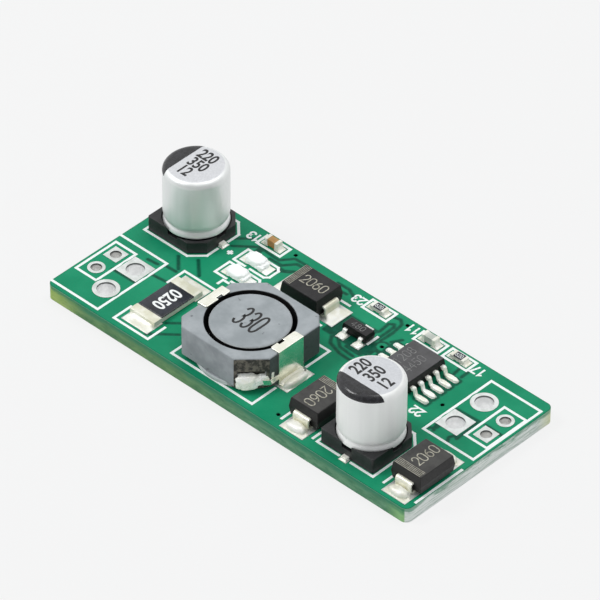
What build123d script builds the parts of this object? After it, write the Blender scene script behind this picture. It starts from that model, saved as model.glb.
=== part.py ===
from build123d import *
import math
import os

# Battery charger board with its surface parts.
# Frame: origin at the centre of the board's underside, X along the long edge, Y to the back, Z up.
# Lengths are in millimetres and turns in degrees.

# Bare board
board_length = 45.0
board_width = 19.4
board_thickness = 1.6
board_corner = 0.7
copper = 0.05
print_height = 0.03
print_width = 0.27

# Heights of the board's top face and of the pads on it
top = board_thickness
deck = top + copper


def on_board(along, across, *turn):
    """A place given as shares of the board's length from the left and of its width from the front."""
    return ((along - 0.5) * board_length, (across - 0.5) * board_width, *turn)


# Two-hole rows for a terminal block and for a pin header, one of each at either end
terminal_pitch = 3.81
terminal_pad = 2.6
terminal_hole = 1.8
terminal_rows = [on_board(0.100, 0.263, 1), on_board(0.891, 0.701, -1)]
header_pitch = 2.54
header_pad = 1.7
header_hole = 1.1
header_rows = [on_board(0.038, 0.309, 1), on_board(0.959, 0.704, -1)]
plating = 0.1
terminal_outline_inside = 1.5
terminal_outline_length = terminal_pitch + 2 * terminal_pad
header_outline_width = 2.6
header_outline_length = 2 * header_outline_width

# Small holes through the mask and the copper layers
via_hole = 0.38
via_places = [on_board(0.304, 0.964), on_board(0.628, 0.760), on_board(0.836, 0.652),
              on_board(0.621, 0.077), on_board(0.620, 0.956)]

# Aluminium capacitors: X, Y and turn, with the chamfered corners on the own +X side
capacitor_places = {"input": on_board(0.099, 0.778, 0), "output": on_board(0.808, 0.239, 90)}
can_diameter = 6.3
can_top = 7.65
can_shoulder = 0.65
can_rim_top = 1.8
can_groove_depth = 0.22
can_groove_height = 0.5
bung_wall = 0.3
bung_height = 1.2
base_side = 6.4
base_chamfer = 1.3
base_corner = 0.2
base_floor = 0.9
base_post = 1.6
base_chamfer_post = 1.25
base_clearance = 0.1
tab_width = 0.65
tab_thickness = 0.28
tab_reach = 0.42
tab_pitch = 2.2
capacitor_pad_width = 0.95
capacitor_pad_inner = 1.3
mark_chord = 1.42
mark_skin = 0.02
capacitor_outline = 6.8

# Shielded power coil
coil_place = on_board(0.449, 0.306)
shield_side = 9.9
shield_top = 3.75
shield_cut_corner = 2.3
shield_small_corner = 1.1
shield_bore = 8.5
shield_edge = 0.12
flange_diameter = 10.3
flange_height = 0.5
core_disc = 7.6
core_disc_height = 0.85
core_post = 4.0
winding_diameter = 7.3
clip_thickness = 0.17
clip_width = 3.2
clip_lip = 0.95
clip_foot = 0.55
clip_notch_width = 0.7
clip_notch_depth = 0.3
clip_lip_corner = 0.2
coil_pad_width = 3.6
coil_pad_inner = 3.7
coil_pad_outer = 6.3
window_width = 2.5
window_top = 2.2
window_depth = 0.9
wire_end_length = 1.7
wire_end_depth = 0.95
wire_end_height = 1.15
wire_end_low = 0.68
arm_low = 0.75
arm_height = 0.6
coil_outline = 10.1
coil_outline_gap = 4.1

# Power resistor, long side across the board
sense_place = on_board(0.224, 0.277)
sense_length = 6.3
sense_width = 3.1
sense_core = 0.5
sense_cap_length = 1.0
sense_skin = 0.06
sense_coating_length = 4.25
sense_pad_width = 3.3
sense_pad_inner = 2.1
sense_pad_outer = 4.2
sense_outline_half_width = 2.16
sense_outline_half_length = 4.6
sense_outline_arm = 2.2

# Rectifier diodes: X, Y and turn, with the long side on the own X axis
diode_places = {"first": on_board(0.427, 0.772, 0), "second": on_board(0.677, 0.222, -90),
                "third": on_board(0.953, 0.225, -90)}
diode_length = 4.55
diode_width = 3.6
diode_low = 0.25
diode_parting = 1.1
diode_top = 2.15
diode_draft = 8
diode_edge = 0.08
strap_width = 1.9
strap_thickness = 0.2
strap_reach = 0.38
strap_inset = 0.35
strap_foot = 0.9
strap_bend = 0.15
diode_pad_width = 2.85
diode_pad_inner = 1.5
diode_pad_outer = 3.9
diode_outline_half_width = 1.92
diode_tick_start = 1.75
diode_tick_end = 2.98

# Ten-lead controller chip
chip_place = on_board(0.726, 0.713)
chip_length = 4.9
chip_width = 3.9
chip_top = 1.5
chip_low = 0.12
chip_parting = 0.78
chip_draft = 7
chip_edge = 0.06
chip_lead_count = 5
chip_lead_pitch = 1.0
chip_lead_width = 0.4
chip_lead_thickness = 0.18
chip_lead_reach = 1.05
chip_lead_shoulder = 0.3
chip_lead_foot = 0.45
chip_lead_inset = 0.2
chip_pad_length = 1.35
chip_pad_width = 0.6

# Three-lead transistor
transistor_place = on_board(0.569, 0.745)
transistor_length = 2.9
transistor_width = 1.3
transistor_top = 1.0
transistor_low = 0.1
transistor_parting = 0.55
transistor_draft = 8
transistor_lead_width = 0.42
transistor_lead_thickness = 0.14
transistor_lead_reach = 0.55
transistor_lead_pitch = 1.9
transistor_lead_inset = 0.2
transistor_lead_foot = 0.28
transistor_pad = 1.0
transistor_pad_row = 1.08

# Indicator lamps
lamp_places = {"upper": on_board(0.268, 0.789), "lower": on_board(0.268, 0.662)}
lamp_length = 2.0
lamp_width = 1.25
lamp_base = 0.3
lamp_skin = 0.05
lamp_contact = 0.38
lamp_top = 0.82
lamp_lens_draft = 18
lamp_pad_length = 0.95
lamp_pad_width = 1.3
lamp_pad_row = 1.28
lamp_outline_half_length = 2.1
lamp_outline_half_width = 0.97
lamp_outline_corner = 0.38
lamp_outline_break = 0.7

# Small two-ended chips along the back edge
ceramic_places = {"left": on_board(0.251, 0.941), "right": on_board(0.689, 0.941)}
film_places = {"left": on_board(0.547, 0.943), "right": on_board(0.767, 0.943)}
small_length = 1.6
small_width = 0.8
ceramic_height = 0.8
ceramic_cap = 0.35
ceramic_skin = 0.04
film_core = 0.38
film_cap = 0.3
film_skin = 0.03
film_coating_length = 0.95
small_pad_length = 0.85
small_pad_width = 0.95
small_pad_row = 0.8
small_outline_length = 2.95
small_outline_width = 1.45

# Solder against upright faces: how far it spreads and how high it climbs
strap_solder = (0.75, 0.42)
sense_solder = (0.8, 0.42)
coil_solder_spread = 0.62
small_solder = (0.3, 0.3)
lamp_solder = (0.35, 0.22)
lead_solder = (0.55, 0.16)
tab_solder = (0.2, 0.14)
solder_belly = 0.65

# Plus sign beside the lamps and bent mark below them
plus_place = on_board(0.201, 0.763)
plus_arm = 0.18
stroke_place = on_board(0.252, 0.594)
stroke_length = 0.66


def save(shape, name):
    shape.label = name
    export_step(shape, os.path.join("parts", name + ".step"))


def seat(place, height=deck):
    """Where a part's own frame sits: its X and Y, the pads' top face, and its turn."""
    turn = place[2] if len(place) > 2 else 0
    return Location((place[0], place[1], height), (0, 0, turn))


def row_points(row, pitch):
    """Centre of the square pad and centre of the round pad of a two-hole row."""
    x, y, way = row
    return (x, y + way * pitch / 2), (x, y - way * pitch / 2)


def all_row_points(rows, pitch):
    return [point for row in rows for point in row_points(row, pitch)]


def mirrored_pads(inner, outer, width):
    """Two rectangular pads on the own X axis, each from inner to outer."""
    with GridLocations(inner + outer, 0, 2, 1):
        Rectangle(outer - inner, width)


def cut_holes(points, diameter):
    with Locations(*points):
        Circle(diameter / 2, mode=Mode.SUBTRACT)


# Laminate with a hole for every barrel
with BuildPart() as board:
    with BuildSketch():
        RectangleRounded(board_length, board_width, board_corner)
        cut_holes(all_row_points(terminal_rows, terminal_pitch), terminal_hole + 2 * plating)
        cut_holes(all_row_points(header_rows, header_pitch), header_hole + 2 * plating)
        cut_holes(via_places, via_hole)
    extrude(amount=board_thickness)


def plated_rows(rows, pitch, pad, hole):
    """Barrels through the board with a square or a round pad on top."""
    with BuildPart() as barrels:
        with BuildSketch(Plane.XY.offset(top)):
            for row in rows:
                square_point, round_point = row_points(row, pitch)
                with Locations(square_point):
                    Rectangle(pad, pad)
                with Locations(round_point):
                    Circle(pad / 2)
        extrude(amount=copper)
        with BuildSketch():
            with Locations(*all_row_points(rows, pitch)):
                Circle(hole / 2 + plating)
        extrude(amount=deck)
        with BuildSketch():
            with Locations(*all_row_points(rows, pitch)):
                Circle(hole / 2)
        extrude(amount=deck, mode=Mode.SUBTRACT)
    return barrels.part


# Bare copper pads under every surface part
capacitor_pad_outer = base_side / 2 + tab_reach + tab_solder[0]
chip_pad_row = chip_width / 2 + chip_lead_reach + chip_pad_length / 2 - chip_lead_foot
lead_ys = [(n - (chip_lead_count - 1) / 2) * chip_lead_pitch for n in range(chip_lead_count)]

with BuildPart() as pads:
    with BuildSketch(Plane.XY.offset(top)) as pad_faces:
        for place in capacitor_places.values():
            with Locations(seat(place, 0)):
                mirrored_pads(capacitor_pad_inner, capacitor_pad_outer, capacitor_pad_width)
        for place in diode_places.values():
            with Locations(seat(place, 0)):
                mirrored_pads(diode_pad_inner, diode_pad_outer, diode_pad_width)
        with Locations(coil_place):
            mirrored_pads(coil_pad_inner, coil_pad_outer, coil_pad_width)
        with Locations(Location((*sense_place, 0), (0, 0, 90))):
            mirrored_pads(sense_pad_inner, sense_pad_outer, sense_pad_width)
        with Locations(chip_place):
            with GridLocations(2 * chip_pad_row, chip_lead_pitch, 2, chip_lead_count):
                oval = Rectangle(chip_pad_length, chip_pad_width)
        chamfer(oval.vertices(), chip_pad_width / 4)
        with Locations(transistor_place):
            with Locations((-transistor_lead_pitch / 2, -transistor_pad_row),
                           (transistor_lead_pitch / 2, -transistor_pad_row), (0, transistor_pad_row)):
                Rectangle(transistor_pad, transistor_pad)
        for place in lamp_places.values():
            with Locations(place):
                with GridLocations(2 * lamp_pad_row, 0, 2, 1):
                    Rectangle(lamp_pad_length, lamp_pad_width)
        for place in [*ceramic_places.values(), *film_places.values()]:
            with Locations(place):
                with GridLocations(2 * small_pad_row, 0, 2, 1):
                    Rectangle(small_pad_length, small_pad_width)
    extrude(amount=copper)


def stroke(*points):
    """Printed line through the points, with square ends."""
    for start, end in zip(points, points[1:]):
        run = math.dist(start, end)
        turn = math.degrees(math.atan2(end[1] - start[1], end[0] - start[0]))
        middle = ((start[0] + end[0]) / 2, (start[1] + end[1]) / 2)
        with Locations(Location((*middle, 0), (0, 0, turn))):
            Rectangle(run + print_width, print_width)


def frame_stroke(width, length):
    x, y = width / 2, length / 2
    stroke((-x, -y), (x, -y), (x, y), (-x, y), (-x, -y))


def terminal_outline(row):
    """Outline of a terminal block, open towards the board's end where it meets the edge."""
    x, y, way = row
    inside = x + way * terminal_outline_inside
    margin = print_width if way < 0 else 0
    outside = -way * (board_length / 2 - print_width / 2 - margin)
    half = terminal_outline_length / 2
    stroke((outside, y - half), (inside, y - half), (inside, y + half), (outside, y + half))
    if way < 0:
        stroke((outside, y - half), (outside, y + half))


def capacitor_outline_strokes():
    half = capacitor_outline / 2
    inner = half - base_chamfer
    gap = capacitor_pad_width / 2 + print_width
    for side in (-1, 1):
        stroke((half, side * gap), (half, side * inner), (inner, side * half), (-half, side * half),
               (-half, side * gap))


def coil_outline_strokes():
    half = coil_outline / 2
    gap = coil_outline_gap / 2
    for side in (-1, 1):
        stroke((-half, side * gap), (-half, side * half), (half, side * half), (half, side * gap))


def sense_outline_strokes():
    x, y = sense_outline_half_width, sense_outline_half_length
    for side in (-1, 1):
        arm = side * (y - sense_outline_arm)
        stroke((-x, arm), (-x, side * y), (x, side * y), (x, arm))


def diode_outline_strokes():
    for x_side in (-1, 1):
        for y_side in (-1, 1):
            y = y_side * diode_outline_half_width
            stroke((x_side * diode_tick_start, y), (x_side * diode_tick_end, y))


def lamp_outline_strokes():
    x, y, corner = lamp_outline_half_length, lamp_outline_half_width, lamp_outline_corner
    stroke((-lamp_outline_break, -y), (-x, -y), (-x, y), (-2 * lamp_outline_break, y))
    stroke((0, y), (x - corner, y), (x, y - corner), (x, corner - y), (x - corner, -y), (0, -y))


with BuildPart() as legend:
    with BuildSketch(Plane.XY.offset(top)):
        for row in terminal_rows:
            terminal_outline(row)
        for row in header_rows:
            with Locations((row[0], row[1])):
                frame_stroke(header_outline_width, header_outline_length)
        for place in capacitor_places.values():
            with Locations(seat(place, 0)):
                capacitor_outline_strokes()
        with Locations(coil_place):
            coil_outline_strokes()
        with Locations(sense_place):
            sense_outline_strokes()
        for place in diode_places.values():
            with Locations(seat(place, 0)):
                diode_outline_strokes()
        for place in lamp_places.values():
            with Locations(place):
                lamp_outline_strokes()
        for place in [*ceramic_places.values(), *film_places.values()]:
            with Locations(place):
                frame_stroke(small_outline_length, small_outline_width)
        with Locations(diode_places["third"][:2]):
            stroke((diode_outline_half_width, -diode_tick_end), (diode_outline_half_width, diode_tick_end))
        with Locations(transistor_place):
            edge = transistor_length / 2
            stroke((edge, -transistor_width / 4), (edge, transistor_width * 0.75))
        with Locations(plus_place):
            stroke((-plus_arm, 0), (plus_arm, 0))
            stroke((0, -plus_arm), (0, plus_arm))
        with Locations(stroke_place):
            stroke((0, -stroke_length), (0, 0), (stroke_length, 0))
        add(pad_faces.sketch.moved(Location((0, 0, -top))), mode=Mode.SUBTRACT)
        cut_holes(all_row_points(terminal_rows, terminal_pitch), terminal_pad + print_width)
        cut_holes(all_row_points(header_rows, header_pitch), header_pad + print_width)
        cut_holes(via_places, 2 * via_hole)
        RectangleRounded(board_length, board_width, board_corner, mode=Mode.INTERSECT)
    extrude(amount=print_height)


# Aluminium capacitor, own frame on the pads' top face
def capacitor_base():
    """Moulded foot: low floor, two tall corner posts, two low chamfered ones, a groove for each tab."""
    with BuildPart() as base:
        with BuildSketch() as outline:
            Rectangle(base_side, base_side)
            chamfer(outline.vertices().group_by(Axis.X)[-1], base_chamfer)
            fillet(outline.vertices().group_by(Axis.X)[0], base_corner)
        extrude(amount=base_floor)
        for side, height in ((-1, base_post), (1, base_chamfer_post)):
            with BuildSketch(Plane.XY.offset(base_floor)):
                add(outline.sketch)
                Circle(can_diameter / 2 + base_clearance, mode=Mode.SUBTRACT)
                with Locations((side * base_side / 2, 0)):
                    Rectangle(base_side, base_side, mode=Mode.INTERSECT)
            extrude(amount=height - base_floor)
        with BuildSketch():
            mirrored_pads(tab_pitch / 2, base_side / 2, tab_width)
        extrude(amount=tab_thickness, mode=Mode.SUBTRACT)
        with BuildSketch():
            mirrored_pads(tab_pitch / 2, tab_pitch / 2 + tab_thickness, tab_width)
        extrude(amount=base_floor, mode=Mode.SUBTRACT)
    return base.part


def capacitor_tabs():
    """Flat strips that come down through the floor and run out to either side."""
    with BuildPart() as tabs:
        with BuildSketch():
            mirrored_pads(tab_pitch / 2, tab_pitch / 2 + tab_thickness, tab_width)
        extrude(amount=base_floor + bung_height)
        with BuildSketch():
            mirrored_pads(tab_pitch / 2, base_side / 2 + tab_reach, tab_width)
        extrude(amount=tab_thickness)
    return tabs.part


def capacitor_bung():
    with BuildPart() as bung:
        with BuildSketch(Plane.XY.offset(base_floor)):
            Circle(can_diameter / 2 - can_groove_depth - bung_wall)
        extrude(amount=bung_height)
        with BuildSketch(Plane.XY.offset(base_floor)):
            mirrored_pads(tab_pitch / 2, tab_pitch / 2 + tab_thickness, tab_width)
        extrude(amount=bung_height, mode=Mode.SUBTRACT)
    return bung.part


def capacitor_can():
    """Turned profile: rolled rim, crimp groove, straight wall and a shoulder rounded in three steps."""
    radius = can_diameter / 2
    bung_radius = radius - can_groove_depth - bung_wall
    bung_top = base_floor + bung_height
    rim_edge = bung_wall / 3
    shoulder = [(radius - can_shoulder * (1 - math.cos(step * math.pi / 6)),
                 can_top - can_shoulder * (1 - math.sin(step * math.pi / 6))) for step in range(4)]
    with BuildPart() as can:
        with BuildSketch(Plane.XZ):
            with BuildLine():
                Polyline((0, can_top), (0, bung_top), (bung_radius, bung_top), (bung_radius, base_floor),
                         (radius - rim_edge, base_floor), (radius, base_floor + rim_edge),
                         (radius, can_rim_top - rim_edge), (radius - rim_edge, can_rim_top),
                         (radius - can_groove_depth, can_rim_top + can_groove_height / 4),
                         (radius - rim_edge, can_rim_top + can_groove_height / 2),
                         (radius, can_rim_top + can_groove_height), *shoulder, (0, can_top))
            make_face()
        revolve(axis=Axis.Z)
    return can.part


def capacitor_mark():
    """Thin printed segment on the can's flat top."""
    flat = can_diameter / 2 - can_shoulder
    with BuildPart() as mark:
        with BuildSketch(Plane.XY.offset(can_top)):
            Circle(flat)
            with Locations((flat - mark_chord, 0)):
                Rectangle(2 * flat, 2 * flat, mode=Mode.SUBTRACT)
        extrude(amount=mark_skin)
    return mark.part


# Shielded coil, own frame on the pads' top face
shield_half = shield_side / 2
chamfer_face = (2 * shield_half - shield_cut_corner) / math.sqrt(2)
coil_turns = (-45, 135)


def coil_shield():
    """Square block with two large and two small cut corners, a round bore and a window at each wire end."""
    with BuildPart() as shield:
        with BuildSketch(Plane.XY.offset(flange_height)) as outline:
            Rectangle(shield_side, shield_side)
            diagonal = Axis((0, 0, 0), (1, -1, 0))
            corners = outline.vertices().sort_by(diagonal)
            chamfer([corners[0], corners[-1]], shield_cut_corner)
            cross = outline.vertices().sort_by(Axis((0, 0, 0), (1, 1, 0)))
            chamfer([cross[0], cross[-1]], shield_small_corner)
        extrude(amount=shield_top - flange_height)
        rim = shield.faces().sort_by(Axis.Z)[-1].edges()
        chamfer(rim, shield_edge)
        with BuildSketch(Plane.XY.offset(flange_height)):
            Circle(shield_bore / 2)
        extrude(amount=shield_top, mode=Mode.SUBTRACT)
        for turn in coil_turns:
            with BuildSketch(Plane.XY.offset(flange_height)):
                with Locations(Location((0, 0, 0), (0, 0, turn))):
                    with Locations((chamfer_face, 0)):
                        Rectangle(2 * window_depth, window_width)
            extrude(amount=window_top - flange_height, mode=Mode.SUBTRACT)
    return shield.part


def coil_core():
    """Drum: wide flange with flat sides for the terminals, post, and the disc in the shield's bore."""
    with BuildPart() as core:
        with BuildSketch():
            Circle(flange_diameter / 2)
            Rectangle(shield_side, flange_diameter, mode=Mode.INTERSECT)
        extrude(amount=flange_height)
        Cylinder(core_post / 2, shield_top, align=(Align.CENTER, Align.CENTER, Align.MIN))
        with BuildSketch(Plane.XY.offset(shield_top - core_disc_height)):
            Circle(core_disc / 2)
        extrude(amount=core_disc_height)
        chamfer(core.faces().sort_by(Axis.Z)[-1].edges(), shield_edge)
    return core.part


def coil_winding():
    with BuildPart() as winding:
        with BuildSketch(Plane.XY.offset(flange_height)):
            Circle(winding_diameter / 2)
            Circle(core_post / 2, mode=Mode.SUBTRACT)
        extrude(amount=shield_top - core_disc_height - flange_height)
    return winding.part


def coil_terminal():
    """Strip folded over the shield's edge, down its side and out onto the pad, with an arm to the wire end."""
    face = shield_half + clip_thickness / 2
    crown = shield_top + clip_thickness / 2
    with BuildPart() as clip:
        with BuildSketch(Plane.XZ):
            with BuildLine():
                Polyline((shield_half - clip_lip, crown), (face, crown), (face, clip_thickness / 2),
                         (face + clip_foot, clip_thickness / 2))
            trace(line_width=clip_thickness)
        extrude(amount=clip_width / 2, both=True)
        lip = clip.edges().filter_by(Axis.Z).group_by(Axis.X)[0]
        fillet(lip, clip_lip_corner)
        with BuildSketch(Plane.XY.offset(shield_top)):
            with Locations((shield_half - clip_lip, -clip_notch_width / 2)):
                Rectangle(2 * clip_notch_depth, clip_notch_width)
        extrude(amount=clip_thickness, mode=Mode.SUBTRACT)
        with BuildSketch(Plane.XY.offset(arm_low)):
            with BuildLine():
                inner = (chamfer_face + clip_thickness / 2, wire_end_length / 2)
                bend = shield_cut_corner - shield_half - clip_thickness * math.tan(math.pi / 8) / 2
                Polyline(((inner[0] + inner[1]) / math.sqrt(2), (inner[1] - inner[0]) / math.sqrt(2)),
                         (face, bend), (face, -clip_width / 2))
            trace(line_width=clip_thickness)
        extrude(amount=arm_height)
    return clip.part


def wire_ends():
    """Rounded lumps of solder round the two ends of the winding's wire."""
    with BuildPart() as lumps:
        for turn in coil_turns:
            with BuildSketch(Plane.XY.offset(wire_end_low)):
                with Locations(Location((0, 0, 0), (0, 0, turn))):
                    with Locations((chamfer_face - wire_end_depth / 2 + clip_thickness, 0)):
                        Rectangle(wire_end_depth, wire_end_length)
            extrude(amount=wire_end_height)
        chamfer(lumps.edges(), wire_end_depth / 4)
    return lumps.part


# Two-ended chips, own frame with the long side on X
def chip_core(length, width, height, skin):
    with BuildPart() as core:
        with Locations((0, 0, skin)):
            Box(length - 2 * skin, width, height, align=(Align.CENTER, Align.CENTER, Align.MIN))
    return core.part


def wrapped_ends(length, width, height, skin, cap):
    """Metal ends folded over the top, the end face and the underside of a chip."""
    with BuildPart() as ends:
        with GridLocations(length - cap, 0, 2, 1):
            Box(cap, width, height + 2 * skin, align=(Align.CENTER, Align.CENTER, Align.MIN))
        chamfer(ends.edges().filter_by(Axis.Y), skin * 0.8)
        with Locations((0, 0, skin)):
            Box(length - 2 * skin, width, height, align=(Align.CENTER, Align.CENTER, Align.MIN),
                mode=Mode.SUBTRACT)
    return ends.part


def dipped_ends(length, width, height, skin, cap):
    """Metal ends that close over all five faces of a ceramic block's ends."""
    with BuildPart() as ends:
        with GridLocations(length - cap, 0, 2, 1):
            Box(cap, width, height, align=(Align.CENTER, Align.CENTER, Align.MIN))
        chamfer(ends.edges(), skin * 0.8)
        with Locations((0, 0, skin)):
            Box(length - 2 * skin, width - 2 * skin, height - 2 * skin,
                align=(Align.CENTER, Align.CENTER, Align.MIN), mode=Mode.SUBTRACT)
    return ends.part


def ceramic_block():
    with BuildPart() as block:
        with Locations((0, 0, ceramic_skin)):
            Box(small_length - 2 * ceramic_skin, small_width - 2 * ceramic_skin,
                ceramic_height - 2 * ceramic_skin, align=(Align.CENTER, Align.CENTER, Align.MIN))
    return block.part


def coating(length, width, height, thickness):
    with BuildPart() as coat:
        with Locations((0, 0, height)):
            Box(length, width, thickness, align=(Align.CENTER, Align.CENTER, Align.MIN))
        chamfer(coat.faces().sort_by(Axis.Z)[-1].edges(), thickness * 0.6)
    return coat.part


# Moulded parts with metal leads
def moulded(length, width, low, parting, high, draft, edge):
    """Plastic block that is widest at its parting line and leans in above and below it."""
    with BuildPart() as block:
        with BuildSketch(Plane.XY.offset(parting)):
            Rectangle(length, width)
        extrude(amount=high - parting, taper=draft)
        with BuildSketch(Plane.XY.offset(parting)):
            Rectangle(length, width)
        extrude(amount=low - parting, taper=draft)
        chamfer(block.faces().sort_by(Axis.Z)[-1].edges(), edge)
    return block.part


def diode_strap():
    """Flat lead on the own +X side: out at the parting line, down, and back under the body."""
    start = diode_length / 2 - strap_inset
    out = diode_length / 2 + strap_reach - strap_thickness / 2
    foot = diode_length / 2 - strap_foot
    with BuildPart() as strap:
        with BuildSketch(Plane.XZ):
            with BuildLine():
                Polyline((start, diode_parting), (out - strap_bend, diode_parting),
                         (out, diode_parting - strap_bend), (out, strap_bend + strap_thickness / 2),
                         (out - strap_bend, strap_thickness / 2), (foot, strap_thickness / 2))
            trace(line_width=strap_thickness)
        extrude(amount=strap_width / 2, both=True)
    return strap.part


def wing_lead(half_body, inset, parting, reach, shoulder, foot, thickness, width):
    """Lead bent like a gull's wing on the own +X side, foot flat on the pad."""
    with BuildPart() as lead:
        with BuildSketch(Plane.XZ):
            with BuildLine():
                knee = half_body + shoulder
                heel = half_body + reach - foot
                Polyline((half_body - inset, parting), (knee, parting), (heel, thickness / 2),
                         (half_body + reach, thickness / 2))
            trace(line_width=thickness)
        extrude(amount=width / 2, both=True)
    return lead.part


def chip_leads():
    lead = wing_lead(chip_width / 2, chip_lead_inset, chip_parting, chip_lead_reach, chip_lead_shoulder,
                     chip_lead_foot, chip_lead_thickness, chip_lead_width)
    with BuildPart() as leads:
        for y in lead_ys:
            add(lead.moved(Location((0, y, 0))))
            add(lead.moved(Location((0, y, 0), (0, 0, 180))))
    return leads.part


def transistor_leads():
    lead = wing_lead(transistor_width / 2, transistor_lead_inset, transistor_parting, transistor_lead_reach,
                     transistor_lead_thickness, transistor_lead_foot, transistor_lead_thickness,
                     transistor_lead_width)
    with BuildPart() as leads:
        for x in (-transistor_lead_pitch / 2, transistor_lead_pitch / 2):
            add(lead.moved(Location((x, 0, 0), (0, 0, -90))))
        add(lead.moved(Location((0, 0, 0), (0, 0, 90))))
    return leads.part


def without(body, *others):
    """The body with room cut out for the leads that are moulded into it."""
    with BuildPart() as rest:
        add(body)
        for other in others:
            add(other, mode=Mode.SUBTRACT)
    return rest.part


# Indicator lamp
def lamp_lens():
    with BuildPart() as lens:
        with BuildSketch(Plane.XY.offset(lamp_base + 2 * lamp_skin)):
            Rectangle(lamp_length - 2 * lamp_contact, lamp_width)
        extrude(amount=lamp_top - lamp_base - 2 * lamp_skin, taper=lamp_lens_draft)
        chamfer(lens.faces().sort_by(Axis.Z)[-1].edges(), lamp_skin * 2)
        with Locations((0, 0, lamp_base + lamp_skin)):
            Box(lamp_length - 2 * lamp_contact, lamp_width, lamp_skin,
                align=(Align.CENTER, Align.CENTER, Align.MIN))
    return lens.part


# Solder, as a swelling wedge against an upright face that looks along the own +X axis
def wedge(face, spread, climb, width):
    with BuildPart() as joint:
        with BuildSketch(Plane.XZ):
            with BuildLine():
                Polyline((face, climb), (face, 0), (face + spread, 0),
                         (face + spread * solder_belly, climb * solder_belly), close=True)
            make_face()
        extrude(amount=width / 2, both=True)
    return joint.part


def both_ends(shape):
    turned = shape.moved(Location((0, 0, 0), (0, 0, 180)))
    return [shape, turned]


def all_solder():
    """Every joint on the board, each placed with the part that it holds."""
    strap_joint = wedge(diode_length / 2 + strap_reach, *strap_solder, strap_width)
    tab_joint = wedge(base_side / 2 + tab_reach, *tab_solder, tab_width)
    sense_joint = wedge(sense_length / 2, *sense_solder, sense_width)
    foot_end = shield_half + clip_thickness / 2 + clip_foot
    coil_joint = wedge(foot_end, coil_solder_spread, clip_thickness, clip_width)
    small_joint = wedge(small_length / 2, *small_solder, small_width)
    lamp_joint = wedge(lamp_length / 2, *lamp_solder, lamp_width * 0.8)
    lead_joint = wedge(chip_width / 2 + chip_lead_reach, *lead_solder, chip_lead_width)
    pin_joint = wedge(transistor_width / 2 + transistor_lead_reach, small_solder[0],
                      transistor_lead_thickness, transistor_lead_width)
    joints = []
    for place in diode_places.values():
        joints += [joint.moved(seat(place)) for joint in both_ends(strap_joint)]
    for place in capacitor_places.values():
        joints += [joint.moved(seat(place)) for joint in both_ends(tab_joint)]
    joints += [joint.moved(seat((*sense_place, 90))) for joint in both_ends(sense_joint)]
    joints += [joint.moved(seat(coil_place)) for joint in both_ends(coil_joint)]
    for place in [*ceramic_places.values(), *film_places.values()]:
        joints += [joint.moved(seat(place)) for joint in both_ends(small_joint)]
    for place in lamp_places.values():
        joints += [joint.moved(seat(place)) for joint in both_ends(lamp_joint)]
    for y in lead_ys:
        row = seat((chip_place[0], chip_place[1] + y))
        joints.append(lead_joint.moved(row))
        joints.append(lead_joint.moved(seat((chip_place[0], chip_place[1] + y, 180))))
    x, y = transistor_place
    for side in (-1, 1):
        joints.append(pin_joint.moved(seat((x + side * transistor_lead_pitch / 2, y, -90))))
    joints.append(pin_joint.moved(seat((x, y, 90))))
    with BuildPart() as solder:
        for joint in joints:
            add(joint)
    return solder.part


def save_capacitors():
    pieces = {"can": capacitor_can(), "bung": capacitor_bung(), "base": capacitor_base(),
              "tabs": capacitor_tabs(), "polarity_mark": capacitor_mark()}
    for name, place in capacitor_places.items():
        for piece, shape in pieces.items():
            save(shape.moved(seat(place)), name + "_capacitor_" + piece)


def save_coil():
    terminal = coil_terminal()
    save(coil_shield().moved(seat(coil_place)), "coil_shield")
    save(coil_core().moved(seat(coil_place)), "coil_core")
    save(coil_winding().moved(seat(coil_place)), "coil_winding")
    save(wire_ends().moved(seat(coil_place)), "coil_wire_ends")
    save(terminal.moved(seat(coil_place)), "coil_right_terminal")
    save(terminal.moved(seat((*coil_place, 180))), "coil_left_terminal")


def save_diodes():
    strap, other_strap = both_ends(diode_strap())
    block = moulded(diode_length, diode_width, diode_low, diode_parting, diode_top, diode_draft, diode_edge)
    body = without(block, strap, other_strap)
    for name, place in diode_places.items():
        save(body.moved(seat(place)), name + "_diode_body")
        save(strap.moved(seat(place)), name + "_diode_right_strap")
        save(other_strap.moved(seat(place)), name + "_diode_left_strap")


def save_chip():
    leads = chip_leads()
    block = moulded(chip_width, chip_length, chip_low, chip_parting, chip_top, chip_draft, chip_edge)
    save(without(block, leads).moved(seat(chip_place)), "controller_chip_body")
    save(leads.moved(seat(chip_place)), "controller_chip_leads")


def save_transistor():
    leads = transistor_leads()
    block = moulded(transistor_length, transistor_width, transistor_low, transistor_parting, transistor_top,
                    transistor_draft, chip_edge)
    save(without(block, leads).moved(seat(transistor_place)), "transistor_body")
    save(leads.moved(seat(transistor_place)), "transistor_leads")


def save_sense_resistor():
    place = seat((*sense_place, 90))
    core = chip_core(sense_length, sense_width, sense_core, sense_skin)
    ends = wrapped_ends(sense_length, sense_width, sense_core, sense_skin, sense_cap_length)
    coat = coating(sense_coating_length, sense_width, sense_core + sense_skin, sense_skin * 1.2)
    save(core.moved(place), "power_resistor_core")
    save(ends.moved(place), "power_resistor_ends")
    save(coat.moved(place), "power_resistor_coating")


def save_lamps():
    core = chip_core(lamp_length, lamp_width, lamp_base, lamp_skin)
    contacts = wrapped_ends(lamp_length, lamp_width, lamp_base, lamp_skin, lamp_contact)
    lens = lamp_lens()
    for name, place in lamp_places.items():
        save(core.moved(seat(place)), name + "_lamp_base")
        save(contacts.moved(seat(place)), name + "_lamp_contacts")
        save(lens.moved(seat(place)), name + "_lamp_lens")


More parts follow.
